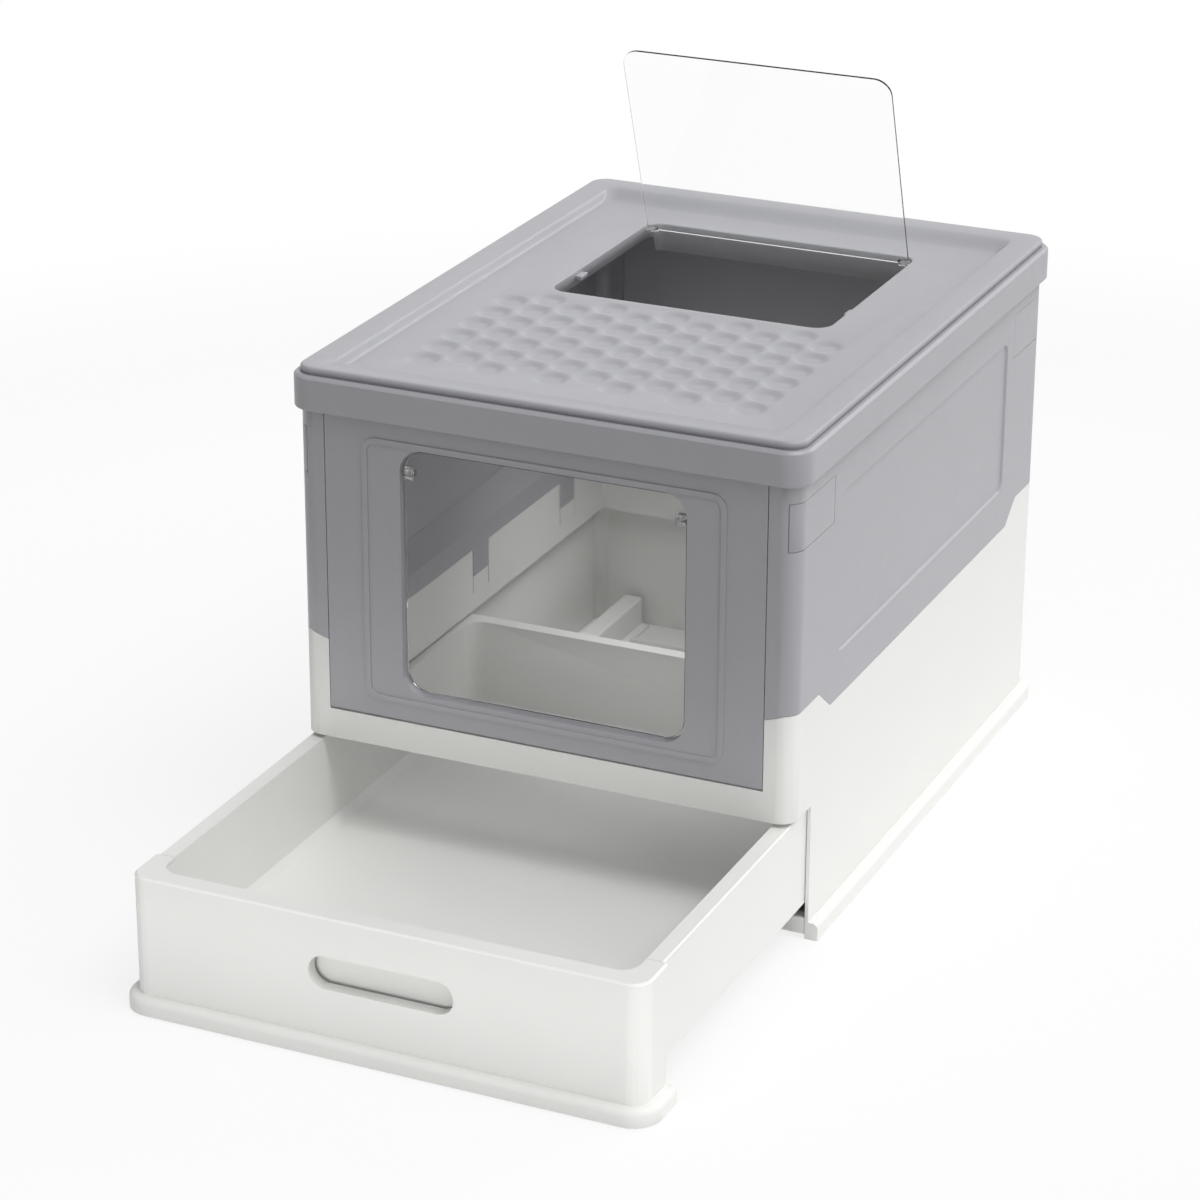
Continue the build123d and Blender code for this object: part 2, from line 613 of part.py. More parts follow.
def side_plate(length, height, radius, x0, x1):
    """A rounded plate in the side wall, centred on the field."""
    plane = Plane(origin=(x0, 0, (FIELD_HIGH + FIELD_LOW) / 2), x_dir=(0, 1, 0), z_dir=(1, 0, 0))
    return extrude(plane * RectangleRounded(length, height, radius), x1 - x0)


def side_apron():
    """Hollow lower edge that stands on the lining, with its snap tabs."""
    x_in = HALF_W - LINER_IN
    x_out = HALF_W - WALL - FIT
    low = LINER_TOP + FIT
    high = low + APRON_H
    y_end = NOTCH_LOW_Y - FIT
    outline = [(x_in, low), (x_out, low), (x_out, SIDE_LOW + FIT), (HALF_W - SINK, SIDE_LOW + FIT),
               (HALF_W - SINK, high), (x_out, high), (x_in, high - 2 * LINER_IN)]
    apron = front_shape(outline, -y_end, y_end)
    hollow = [(x_in + LINER_T, low - PAST), (x_out - LINER_T, low - PAST),
              (x_out - LINER_T, high - LINER_IN), (x_in + LINER_T, high - 2 * LINER_IN - PAST)]
    apron -= front_shape(hollow, -y_end + LINER_T, y_end - LINER_T)
    for y in tab_centres():
        apron += block(x_in, x_in + LINER_T, y - TAB_W / 2, y + TAB_W / 2,
                       LINER_TOP - TAB_H, low + SINK)
    return apron


# ---- front door flap ----
def door_flap():
    """Clear flap that swings both ways in the doorway."""
    low = DOOR_LOW + DOOR_GAP
    high = DOOR_HIGH - DOOR_GAP
    plate = RectangleRounded(2 * DOOR_FLAP_HALF, high - low, DOOR_R - DOOR_GAP)
    flap = wall_shape(plate, DOOR_PIVOT_Y - FLAP_T / 2, DOOR_PIVOT_Y + FLAP_T / 2, (low + high) / 2)
    knuckle = rod(DOOR_FLAP_HALF - KNUCKLE_L, DOOR_FLAP_HALF, DOOR_PIVOT_Y, DOOR_PIVOT_Z, KNUCKLE_R)
    start = DOOR_FLAP_HALF - KNUCKLE_L + KNUCKLE_END
    bore = rod(start, DOOR_FLAP_HALF + PAST, DOOR_PIVOT_Y, DOOR_PIVOT_Z, FLAP_PIN_R + RUN)
    for shape in both_sides(knuckle):
        flap += shape
    for shape in both_sides(bore):
        flap -= shape
    return flap


def door_pins():
    """Two stub pins of the front flap."""
    start = DOOR_FLAP_HALF - KNUCKLE_L + KNUCKLE_END + RUN
    pin = rod(start, DOOR_W / 2 + PIVOT_BITE, DOOR_PIVOT_Y, DOOR_PIVOT_Z, FLAP_PIN_R)
    return Compound(both_sides(pin))


# ---- lid ----
def lid_rim():
    """Band round the tops of the walls, with a ledge that carries the plate."""
    rim = body_slab(RIM_OUT, RIM_BOTTOM, RIM_TOP)
    rim = chamfer(rim.edges().group_by(Axis.Z)[-1], RIM_ROUND)
    rim = chamfer(rim.edges().group_by(Axis.Z)[0], RIM_ROUND / 2)
    rim -= body_slab(RIM_OUT - WALL, RIM_BOTTOM - PAST, RIM_TOP - LEDGE_T)
    rim -= body_slab(RIM_OUT - LEDGE_W, RIM_TOP - LEDGE_T - PAST, RIM_TOP + PAST)
    return rim


def basin(grow, top):
    """Sunk middle of the plate: steep in front, soft at the sides and rear."""
    x_top = PLATE_W / 2 - BORDER_SIDE
    y0_top = -PLATE_D / 2 + BORDER_FRONT
    y1_top = PLATE_D / 2 - BORDER_REAR
    rise = top - BASIN_Z
    share = rise / BASIN_DEPTH
    side = SLOPE_SIDE * share
    rear = SLOPE_REAR * share
    front = SLOPE_FRONT * share
    x_low = x_top - SLOPE_SIDE
    y0_low = y0_top + SLOPE_FRONT
    y1_low = y1_top - SLOPE_REAR
    low = plan_outline(x_low + grow, y0_low - grow, y1_low + grow, BASIN_Z - grow)
    high = plan_outline(x_low + side + grow, y0_low - front - grow, y1_low + rear + grow, top - grow)
    return loft([low, high])


def plan_outline(half, y0, y1, z):
    """A rounded outline at a height."""
    return Pos(0, (y0 + y1) / 2, z) * RectangleRounded(2 * half, y1 - y0, BASIN_R)


def corners(radius, z):
    """Corners of a dimple's outline at a height."""
    outline = RegularPolygon(radius, DIMPLE_SIDES)
    return [Vector(corner.X, corner.Y, z) for corner in outline.vertices()]


def dimples():
    """Shallow dished hollows in a hexagonal lattice."""
    mouth = corners(DIMPLE_R, BASIN_Z)
    foot = corners(DIMPLE_R * DIMPLE_FOOT, BASIN_Z - DIMPLE_DEPTH)
    hollow = ConvexPolyhedron(mouth + foot)
    spacing = DIMPLE_PITCH * math.cos(math.radians(30))
    hollows = []
    for column in range(DIMPLE_COLUMNS):
        x = spacing * (column - (DIMPLE_COLUMNS - 1) / 2)
        shift = 0 if column % 2 else DIMPLE_PITCH / 2
        for row in range(DIMPLE_ROWS):
            y = DIMPLE_REAR - shift - DIMPLE_PITCH * row
            hollows.append(Pos(x, y, 0) * hollow)
    return hollows


def lid_plate():
    """Raised plate with a sunk middle, dimples and the top opening."""
    half_w, half_d = PLATE_W / 2, PLATE_D / 2
    plate = slab(-half_w, half_w, -half_d, half_d, RIM_TOP, PLATE_TOP, PLATE_R)
    plate = chamfer(plate.edges().group_by(Axis.Z)[-1], PLATE_ROUND)
    under = slab(-half_w + WALL, half_w - WALL, -half_d + WALL, half_d - WALL,
                 RIM_TOP - PAST, PLATE_TOP - WALL, PLATE_R - WALL)
    plate -= under
    plate += basin(WALL, PLATE_TOP)
    plate -= basin(0, PLATE_TOP + PAST)
    lip = slab(-HATCH_HALF - LIP_T, HATCH_HALF + LIP_T, HATCH_FRONT - LIP_T, HATCH_REAR + LIP_T,
               BASIN_Z - LIP_H, BASIN_Z - SINK, HATCH_R + LIP_T)
    plate += lip
    plate += block(-HATCH_HALF + HATCH_R, HATCH_HALF - HATCH_R, HATCH_REAR, HATCH_REAR + LIP_T,
                   BASIN_Z - REAR_LIP_H, BASIN_Z - SINK)
    plate -= slab(-HATCH_HALF, HATCH_HALF, HATCH_FRONT, HATCH_REAR,
                  BASIN_Z - REAR_LIP_H - PAST, PLATE_TOP + PAST, HATCH_R)
    stop_top = HATCH_PIVOT_Z - FLAP_T / 2 - FIT
    stop = block(HATCH_HALF - STOP_OUT, HATCH_HALF + SINK, STOP_Y - STOP_W / 2, STOP_Y + STOP_W / 2,
                 stop_top - STOP_H, stop_top)
    reach = HATCH_HALF + PIVOT_BITE + RUN
    bore = rod(HATCH_HALF - PAST, reach, HATCH_PIVOT_Y, HATCH_PIVOT_Z, FLAP_PIN_R + RUN)
    for shape in both_sides(stop):
        plate += shape
    for shape in both_sides(bore):
        plate -= shape
    return plate - dimples()


# ---- top flap ----
def place_hatch(shape):
    """Turns a piece drawn with the flap closed to where the flap stands."""
    return Pos(0, HATCH_PIVOT_Y, HATCH_PIVOT_Z) * Rot(-HATCH_OPEN, 0, 0) * shape


def top_flap():
    """Clear flap over the top opening, with rounded free corners."""
    half = HATCH_FLAP_HALF
    plate = block(-half, half, -HATCH_FLAP_L, 0, -FLAP_T / 2, FLAP_T / 2)
    free = plate.edges().filter_by(Axis.Z).group_by(Axis.Y)[0]
    plate = fillet(free, HATCH_FLAP_R)
    knuckle = rod(half - KNUCKLE_L, half, 0, 0, KNUCKLE_R)
    bore = rod(half - KNUCKLE_L + KNUCKLE_END, half + PAST, 0, 0, FLAP_PIN_R + RUN)
    for shape in both_sides(knuckle):
        plate += shape
    for shape in both_sides(bore):
        plate -= shape
    return place_hatch(plate)


def top_flap_pins():
    """Two stub pins of the top flap."""
    start = HATCH_FLAP_HALF - KNUCKLE_L + KNUCKLE_END + RUN
    pin = rod(start, HATCH_HALF + PIVOT_BITE, 0, 0, FLAP_PIN_R)
    return place_hatch(Compound(both_sides(pin)))


# ---- all pieces ----
def pieces():
    """Every piece by name."""
    right_rail = runner()
    right_panel = side_panel()
    made = {
        "base_shell": base_shell(),
        "base_floor": base_floor(),
        "drawer_runner_right": right_rail,
        "drawer_runner_left": mirrored(right_rail),
        "drawer_tub": drawer_tub(),
        "drawer_fascia": drawer_fascia(),
        "side_panel_right": right_panel,
        "side_panel_left": mirrored(right_panel),
        "front_panel": front_panel(),
        "front_panel_pins": panel_pins(-1),
        "rear_panel": rear_panel(),
        "rear_panel_pins": panel_pins(1),
        "door_flap": door_flap(),
        "door_flap_pins": door_pins(),
        "lid_rim": lid_rim(),
        "lid_plate": lid_plate(),
        "top_flap": top_flap(),
        "top_flap_pins": top_flap_pins(),
    }
    for end, word in ((-1, "front"), (1, "rear")):
        clip = corner_clip(end)
        made[f"corner_clip_{word}_right"] = clip
        made[f"corner_clip_{word}_left"] = mirrored(clip)
    return made


os.makedirs("parts", exist_ok=True)
for name, shape in pieces().items():
    export_step(shape, f"parts/{name}.step")
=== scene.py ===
"""Drawer litter box: finishes, lid tread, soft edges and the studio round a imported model."""

import math

import bmesh
import bpy
from bpy.props import FloatProperty, FloatVectorProperty, IntProperty, PointerProperty
from mathutils import Matrix, Vector


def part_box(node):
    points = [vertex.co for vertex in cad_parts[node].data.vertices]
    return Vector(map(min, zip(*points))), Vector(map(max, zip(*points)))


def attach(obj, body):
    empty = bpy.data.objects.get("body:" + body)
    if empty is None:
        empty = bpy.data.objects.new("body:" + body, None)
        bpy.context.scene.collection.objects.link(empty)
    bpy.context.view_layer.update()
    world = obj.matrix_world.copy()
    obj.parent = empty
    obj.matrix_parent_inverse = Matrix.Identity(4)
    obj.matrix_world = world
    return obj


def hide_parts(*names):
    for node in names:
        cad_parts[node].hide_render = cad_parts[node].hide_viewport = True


bl_info = {
    "name": "Drawer Litter Box",
    "version": (1, 0, 0),
    "blender": (4, 5, 0),
    "location": "3D View > Sidebar > Litter Box",
    "description": "Finishes a drawer litter box with a dimpled lid and clear flaps",
    "category": "Object",
}

MM = 0.001

# ---- lid plate and its opening ----
PLATE_CORNER = 13.7 * MM
PLATE_EDGE = 2.2 * MM           # rounding along the plate's upper edge
FIELD_CORNER = 9 * MM
EDGE_STEPS = 5                  # facets round the plate's edge
SLOPE_STEPS = 9                 # facets down the slope to the field
FLAT_STRIP = 0.8 * MM           # level strip of the field along its border and its opening
OPENING_GAP = 2.4 * MM          # between the top flap and the opening's sides
OPENING_FRONT = -7.0 * MM
OPENING_REAR = 180.8 * MM
OPENING_CORNER = 13 * MM
LIP_ROLL = 1.0 * MM             # rounding where the field turns down into the lip
LIP_STEPS = 3                   # facets round that roll
LIP_DROP = 11 * MM              # how far the lip hangs below the field
LIP_HINGE = 3 * MM              # strip along the rear where the lip hangs to the plate's foot
TREAD_START = -28.6 * MM        # middle of the dimples nearest the opening
DIMPLE_WALL = 0.48              # share of a dimple's radius that slopes
DIMPLE_AROUND = 24              # facets round a dimple
DIMPLE_RINGS = 7                # facets from its rim to its middle
CORNER_STEPS = 10               # facets round each corner of a loop

# ---- ledges that the top flap rests on ----
STOP_FRONT = 40 * MM
STOP_REAR = 52 * MM
STOP_OUT = 4.9 * MM             # how far a ledge stands into the opening
STOP_ROOT = 1 * MM              # how far it reaches into the lip
STOP_DOWN = 3.3 * MM            # its top below the field
STOP_THICK = 3 * MM
STOP_EDGE = 0.5 * MM

# ---- lugs at the clear door's top corners ----
DOOR_PIVOT_Y = -248 * MM
DOOR_PIVOT_Z = 313 * MM
LUG_WIDTH = 7.5 * MM
LUG_FRONT = 3.4 * MM            # in front of the pivot
LUG_BACK = 1.0 * MM             # its rear face, still in front of the pivot
LUG_BELOW = 5.4 * MM
LUG_ABOVE = 4.6 * MM
LUG_EDGE = 0.9 * MM
BOSS_IN = 5.5 * MM              # from the door's edge to the boss's inner end
BOSS_OUT = 0.6 * MM             # past the door's edge
BOSS_RADIUS = 3.3 * MM
BOSS_AROUND = 24                # facets round a boss
BLOCK_STEPS = 3                 # facets round the edges of a lug or a ledge

# ---- softened edges of the CAD nodes ----
WELD_REACH = 0.002 * MM
FLAT_WITHIN = 1                 # degrees between facets that lie in one face
SHARP_FROM = 35                 # degrees from which an edge is rounded
SOFT_STEPS = 2                  # facets round a softened edge

# ---- surfaces: sizes of what the plastics show ----
NOISE_LOW, NOISE_HIGH = 0.3, 0.7     # between which most of a noise lies
SHADE_CLOUD = 0.09              # patches that are a touch lighter or darker
FLOW_MARK = 0.012               # patches of uneven gloss
GLOSS_SPREAD = 0.02
GRAIN_STRENGTH = 0.12
GRAIN_HEIGHT = 0.05 * MM
SHEET_STREAK = 0.03
STREAK_BLUR = 0.03              # how much rougher the sheet is in a streak
CLEAR_IOR = 1.45
CLEAR_GLEAM = (0.35, 0.35, 0.35, 1)  # dims what the sheet mirrors

# ---- stage: places and directions in metres, angles in degrees ----
KEY_TOWARD, KEY_SPREAD = (0.42, -0.10, 0.90), 35
BACK_TOWARD, BACK_SPREAD = (0.45, 0.75, 0.50), 20
DOME_TOWARD = (0.62, 0.22, 0.72)
FRONT_PLACE, FRONT_SIZE, FRONT_SPREAD = (0.0, -0.90, 0.08), (0.90, 0.14), 30
INNER_PLACE, INNER_SIZE, INNER_SPREAD = (0.0, 0.0, 0.345), (0.14, 0.26), 100
FLOOR_HALF = 30
FLOOR_NEAR, FLOOR_FAR = 0.75, 1.5    # where the painted pool of light on the floor starts and ends its fade to dim
FLOOR_POOL_TONE, FLOOR_BEYOND_POOL = 0.84, 0.35   # painted pool of light: how much light the floor gives back, near the box and far away
FLOOR_ROUGH = 0.9
CAMERA_PLACE = (1.0443, -2.4693, 1.2552)
CAMERA_TURN, CAMERA_RISE, CAMERA_ROLL = 24.288, 22.558, 0.241
CAMERA_LENS, CAMERA_SENSOR = 116.26, 36  # in millimetres

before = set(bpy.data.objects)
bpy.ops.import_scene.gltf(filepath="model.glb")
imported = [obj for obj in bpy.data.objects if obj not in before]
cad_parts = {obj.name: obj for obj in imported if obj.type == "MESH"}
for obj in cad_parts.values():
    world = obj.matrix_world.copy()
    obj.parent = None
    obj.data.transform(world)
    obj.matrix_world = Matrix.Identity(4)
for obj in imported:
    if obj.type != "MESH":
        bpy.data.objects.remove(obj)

GREY_WALLS = ("side_panel_right", "side_panel_left", "front_panel", "rear_panel")
GREY_CLIPS = (
    "corner_clip_front_right", "corner_clip_front_left",
    "corner_clip_rear_right", "corner_clip_rear_left",
)
GREY_PINS = ("front_panel_pins", "rear_panel_pins")
WHITE_BASE = ("base_shell", "base_floor", "drawer_runner_right", "drawer_runner_left")
WHITE_DRAWER = ("drawer_tub", "drawer_fascia")
CLEAR_SHEETS = ("door_flap", "top_flap")
CLEAR_PINS = ("door_flap_pins", "top_flap_pins")


# ---------------------------------------------------------------- settings
class PlasticSettings(bpy.types.PropertyGroup):
    """Colours and surface of the moulded plastics."""

    grey: FloatVectorProperty(
        name="Wall grey", description="Colour of the walls and the lid",
        subtype="COLOR", size=3, min=0, max=1, default=(0.366, 0.367, 0.392),
    )
    white: FloatVectorProperty(
        name="Base white", description="Colour of the base and the drawer",
        subtype="COLOR", size=3, min=0, max=1, default=(0.778, 0.776, 0.757),
    )
    clear: FloatVectorProperty(
        name="Sheet tint", description="Tint of the clear flaps",
        subtype="COLOR", size=3, min=0, max=1, default=(0.994, 0.996, 0.997),
    )
    grain: FloatProperty(
        name="Moulding grain", description="Size of the fine grain on the mouldings",
        unit="LENGTH", default=0.8 * MM,
    )
    edge: FloatProperty(
        name="Edge rounding", description="Softening of the mouldings' sharp edges",
        unit="LENGTH", default=0.45 * MM,
    )


class TreadSettings(bpy.types.PropertyGroup):
    """Sizes of the lid plate and its dimpled tread."""

    border_side: FloatProperty(
        name="Side border", description="Raised border beside the sunk field",
        unit="LENGTH", default=19.7 * MM,
    )
    border_front: FloatProperty(
        name="Front border", description="Raised border in front of the sunk field",
        unit="LENGTH", default=17.9 * MM,
    )
    border_rear: FloatProperty(
        name="Rear border", description="Raised border behind the sunk field",
        unit="LENGTH", default=18.0 * MM,
    )
    depth: FloatProperty(
        name="Field depth", description="How far the field is sunk",
        unit="LENGTH", default=7.0 * MM,
    )
    slope_side: FloatProperty(
        name="Side slope", description="Width of the slope at the field's sides",
        unit="LENGTH", default=5.5 * MM,
    )
    slope_front: FloatProperty(
        name="Front slope", description="Width of the steep front step",
        unit="LENGTH", default=0.8 * MM,
    )
    slope_rear: FloatProperty(
        name="Rear slope", description="Width of the slope behind the field",
        unit="LENGTH", default=20.0 * MM,
    )
    pitch: FloatProperty(
        name="Dimple pitch", description="Distance between dimples",
        unit="LENGTH", default=28.4 * MM,
    )
    dimple: FloatProperty(
        name="Dimple radius", description="Radius of a dimple at its soft rim",
        unit="LENGTH", default=13.9 * MM,
    )
    dimple_depth: FloatProperty(
        name="Dimple depth", description="Depth of a dimple",
        unit="LENGTH", default=2.3 * MM,
    )
    columns: IntProperty(name="Dimple columns", description="Columns of dimples", default=11)
    rows: IntProperty(name="Dimple rows", description="Dimples in each column", default=6)
    wall: FloatProperty(
        name="Plate wall", description="Thickness of the plate", unit="LENGTH", default=2.4 * MM,
    )


class StageSettings(bpy.types.PropertyGroup):
    """Studio round the box."""

    key: FloatProperty(
        name="Key light", description="Strength of the soft light from above", default=1.25,
    )
    rim: FloatProperty(
        name="Back light", description="Strength of the low light from behind on the right",
        default=0.4,
    )
    fill: FloatProperty(
        name="Dome light", description="Strength of the pale dome all round", default=0.12,
    )
    glow: FloatProperty(
        name="Dome glow", description="Added strength of the dome's bright side", default=0.95,
    )
    front: FloatProperty(
        name="Front light", description="Power of the low lamp in front of the drawer, in watts",
        default=0.165,
    )
    inner: FloatProperty(
        name="Inner light", description="Power of the soft lamp under the lid, in watts",
        default=0.16,
    )
    lift: FloatProperty(
        name="Floor lift", description="How much of the floor shows as plain white",
        subtype="FACTOR", min=0, max=1, default=0.8,
    )


# ---------------------------------------------------------------- materials
def new_material(name):
    """An empty node material and its Principled shader."""
    material = bpy.data.materials.new(name)
    material.use_nodes = True
    shader = material.node_tree.nodes["Principled BSDF"]
    return material, shader


def add_node(material, kind, **values):
    """A node with some of its settings."""
    node = material.node_tree.nodes.new(kind)
    for key, value in values.items():
        setattr(node, key, value)
    return node


def link(material, out_socket, in_socket):
    """Joins two sockets of a material."""
    material.node_tree.links.new(out_socket, in_socket)


def noise(material, coordinates, size, detail):
    """A noise whose features are about a size, in metres."""
    node = add_node(material, "ShaderNodeTexNoise")
    node.inputs["Scale"].default_value = 1 / size
    node.inputs["Detail"].default_value = detail
    link(material, coordinates, node.inputs["Vector"])
    return node.outputs["Fac"]


def spread(material, value, low, high):
    """Maps a noise to a range."""
    node = add_node(material, "ShaderNodeMapRange")
    node.inputs["From Min"].default_value = NOISE_LOW
    node.inputs["From Max"].default_value = NOISE_HIGH
    node.inputs["To Min"].default_value = low
    node.inputs["To Max"].default_value = high
    link(material, value, node.inputs["Value"])
    return node.outputs["Result"]


def moulded_plastic(name, colour, gloss, shine, grain, variation):
    """Satin moulded plastic: faint flow marks, a fine grain, uneven gloss."""
    material, shader = new_material(name)
    place = add_node(material, "ShaderNodeTexCoord").outputs["Object"]
    tone = add_node(material, "ShaderNodeValToRGB")
    darker = [c * (1 - variation) for c in colour]
    lighter = [min(1, c * (1 + variation)) for c in colour]
    tone.color_ramp.elements[0].position = NOISE_LOW
    tone.color_ramp.elements[0].color = (*darker, 1)
    tone.color_ramp.elements[1].position = NOISE_HIGH
    tone.color_ramp.elements[1].color = (*lighter, 1)
    link(material, noise(material, place, SHADE_CLOUD, detail=3), tone.inputs["Fac"])
    link(material, tone.outputs["Color"], shader.inputs["Base Color"])
    flow = noise(material, place, FLOW_MARK, detail=4)
    uneven = spread(material, flow, gloss - GLOSS_SPREAD, gloss + GLOSS_SPREAD)
    link(material, uneven, shader.inputs["Roughness"])
    grit = noise(material, place, grain, detail=2)
    bump = add_node(material, "ShaderNodeBump")
    bump.inputs["Strength"].default_value = GRAIN_STRENGTH
    bump.inputs["Distance"].default_value = GRAIN_HEIGHT
    link(material, grit, bump.inputs["Height"])
    link(material, bump.outputs["Normal"], shader.inputs["Normal"])
    shader.inputs["Specular IOR Level"].default_value = shine
    return material


def clear_plastic(name, tint, blur, cloud):
    """Clear moulded sheet that lets light through in its shadow."""
    material, shader = new_material(name)
    place = add_node(material, "ShaderNodeTexCoord").outputs["Object"]
    shader.inputs["Base Color"].default_value = (*tint, 1)
    shader.inputs["Transmission Weight"].default_value = 1.0 - cloud
    shader.inputs["IOR"].default_value = CLEAR_IOR
    shader.inputs["Specular Tint"].default_value = CLEAR_GLEAM
    streak = noise(material, place, SHEET_STREAK, detail=2)
    link(material, spread(material, streak, blur, blur + STREAK_BLUR), shader.inputs["Roughness"])
    through = add_node(material, "ShaderNodeBsdfTransparent")
    through.inputs["Color"].default_value = (*tint, 1)
    path = add_node(material, "ShaderNodeLightPath")
    mix = add_node(material, "ShaderNodeMixShader")
    link(material, path.outputs["Is Shadow Ray"], mix.inputs["Fac"])
    link(material, shader.outputs["BSDF"], mix.inputs[1])
    link(material, through.outputs["BSDF"], mix.inputs[2])
    output = material.node_tree.nodes["Material Output"]
    link(material, mix.outputs["Shader"], output.inputs["Surface"])
    return material


def material_once(name, make):
    """The material of that name, made the first time that it is asked for."""
    return bpy.data.materials.get(name) or make(name)


def grey_plastic():
    """The plastic of the walls, the clips and the lid."""
    look = bpy.context.scene.litter_box_plastic
    return material_once(
        "grey_plastic_satin",
        lambda name: moulded_plastic(
            name, look.grey, gloss=0.36, shine=0.65, grain=look.grain, variation=0.010,
        ),
    )


def white_plastic():
    """The plastic of the base and the drawer."""
    look = bpy.context.scene.litter_box_plastic
    return material_once(
        "white_plastic_satin",
        lambda name: moulded_plastic(
            name, look.white, gloss=0.42, shine=0.35, grain=look.grain, variation=0.006,
        ),
    )


def clear_sheet():
    """The plastic of the two clear flaps."""
    look = bpy.context.scene.litter_box_plastic
    return material_once(
        "clear_plastic_sheet", lambda name: clear_plastic(name, look.clear, blur=0.01, cloud=0.0),
    )


def clear_lug():
    """The plastic of the clear flaps' lugs and pins, a touch cloudy."""
    look = bpy.context.scene.litter_box_plastic
    return material_once(
        "clear_plastic_lug", lambda name: clear_plastic(name, look.clear, blur=0.04, cloud=0.06),
    )


def paint(nodes, material):
    """Gives CAD nodes a material."""
    for name in nodes:
        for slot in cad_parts[name].material_slots:
            slot.material = material


def soften(nodes, width, sheet=False):
    """Rounds the sharp edges of CAD nodes with modifiers, which leave their meshes alone."""
    for name in nodes:
        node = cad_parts[name]
        weld = node.modifiers.new("joined_faces", "WELD")
        weld.merge_threshold = WELD_REACH
        if sheet:
            flat = node.modifiers.new("flat_faces", "DECIMATE")
            flat.decimate_type = "DISSOLVE"
            flat.angle_limit = math.radians(FLAT_WITHIN)
        bevel = node.modifiers.new("soft_edges", "BEVEL")
        bevel.width = width
        bevel.segments = SOFT_STEPS
        bevel.limit_method = "ANGLE"
        bevel.angle_limit = math.radians(SHARP_FROM)
        bevel.harden_normals = True


# ---------------------------------------------------------------- meshes
def rounded_loop(half_x, y0, y1, radius, z):
    """Points round a rounded rectangle, from the front right corner."""
    centres = (
        (half_x - radius, y0 + radius, -90), (half_x - radius, y1 - radius, 0),
        (-half_x + radius, y1 - radius, 90), (-half_x + radius, y0 + radius, 180),
    )
    loop = []
    for cx, cy, start in centres:
        for step in range(CORNER_STEPS + 1):
            a = math.radians(start + 90 * step / CORNER_STEPS)
            loop.append(Vector((cx + radius * math.cos(a), cy + radius * math.sin(a), z)))
    return loop


def bridge(mesh, lower, upper):
    """Quads between two loops of as many vertices."""
    count = len(lower)
    for i in range(count):
        j = (i + 1) % count
        mesh.faces.new((lower[i], lower[j], upper[j], upper[i]))


def loft(mesh, loops):
    """A skin over loops of points; returns the loops of vertices."""
    rings = [[mesh.verts.new(p) for p in loop] for loop in loops]
    for lower, upper in zip(rings, rings[1:]):
        bridge(mesh, lower, upper)
    return rings


def loop_edges(mesh, ring):
    """The edges round a ring of vertices."""
    edges = []
    for a, b in zip(ring, ring[1:] + ring[:1]):
        edges.append(mesh.edges.get((a, b)) or mesh.edges.new((a, b)))
    return edges


def smooth_step(t):
    """Eases from 0 to 1, level at both ends."""
    return t * t * (3 - 2 * t)


def dimple_rings(centre, radius, depth):
    """Loops of a round hollow with a soft rim and a flat middle."""
    loops = []
    for k in range(DIMPLE_RINGS):
        share = 1 - k / DIMPLE_RINGS
        fall = depth * smooth_step(min(1, (1 - share) / DIMPLE_WALL))
        loop = []
        for step in range(DIMPLE_AROUND):
            a = 2 * math.pi * step / DIMPLE_AROUND
            reach = radius * share
            loop.append(centre + Vector((reach * math.cos(a), reach * math.sin(a), -fall)))
        loops.append(loop)
    return loops


def add_block(mesh, low, high, edge):
    """A closed block between two corners, with rounded edges."""
    middle = (Vector(low) + Vector(high)) / 2
    size = Vector(high) - Vector(low)
    place = Matrix.Translation(middle) @ Matrix.Diagonal((*size, 1))
    made = bmesh.ops.create_cube(mesh, size=1, matrix=place)
    edges = list(dict.fromkeys(e for v in made["verts"] for e in v.link_edges))
    bmesh.ops.bevel(
        mesh, geom=edges, offset=edge, segments=BLOCK_STEPS, profile=0.5, affect="EDGES",
    )


def add_boss(mesh, x0, x1, y, z, radius):
    """A short round boss along X."""
    place = (
        Matrix.Translation(((x0 + x1) / 2, y, z)) @ Matrix.Rotation(math.radians(90), 4, "Y")
    )
    bmesh.ops.create_cone(
        mesh, cap_ends=True, segments=BOSS_AROUND, radius1=radius, radius2=radius,
        depth=abs(x1 - x0), matrix=place,
    )


def finish_object(name, mesh, material, body):
    """Turns a mesh into a smooth object that rides on a body."""
    data = bpy.data.meshes.new(name)
    mesh.to_mesh(data)
    mesh.free()
    data.polygons.foreach_set("use_smooth", [True] * len(data.polygons))
    data.materials.append(material)
    piece = bpy.data.objects.new(name, data)
    bpy.context.scene.collection.objects.link(piece)
    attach(piece, body)
    return piece


def plate_loops(low, high, tread):
    """Loops of the lid plate's skin from its foot over the border to the field."""
    half, y0, y1 = high.x, low.y, high.y
    top = high.z
    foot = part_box("lid_rim")[1].z
    loops = [rounded_loop(half, y0, y1, PLATE_CORNER, foot)]
    for step in range(EDGE_STEPS + 1):
        a = math.radians(90 * step / EDGE_STEPS)
        inset = PLATE_EDGE * (1 - math.cos(a))
        z = top - PLATE_EDGE + PLATE_EDGE * math.sin(a)
        loops.append(rounded_loop(half - inset, y0 + inset, y1 - inset, PLATE_CORNER - inset, z))
    for step in range(SLOPE_STEPS + 1):
        t = step / SLOPE_STEPS
        loops.append(rounded_loop(
            half - tread.border_side - tread.slope_side * t,
            y0 + tread.border_front + tread.slope_front * t,
            y1 - tread.border_rear - tread.slope_rear * t,
            FIELD_CORNER, top - tread.depth * smooth_step(t),
        ))
    side = tread.border_side + tread.slope_side + FLAT_STRIP
    front = tread.border_front + tread.slope_front + FLAT_STRIP
    rear = tread.border_rear + tread.slope_rear + FLAT_STRIP
    loops.append(rounded_loop(
        half - side, y0 + front, y1 - rear, FIELD_CORNER, top - tread.depth,
    ))
    return loops


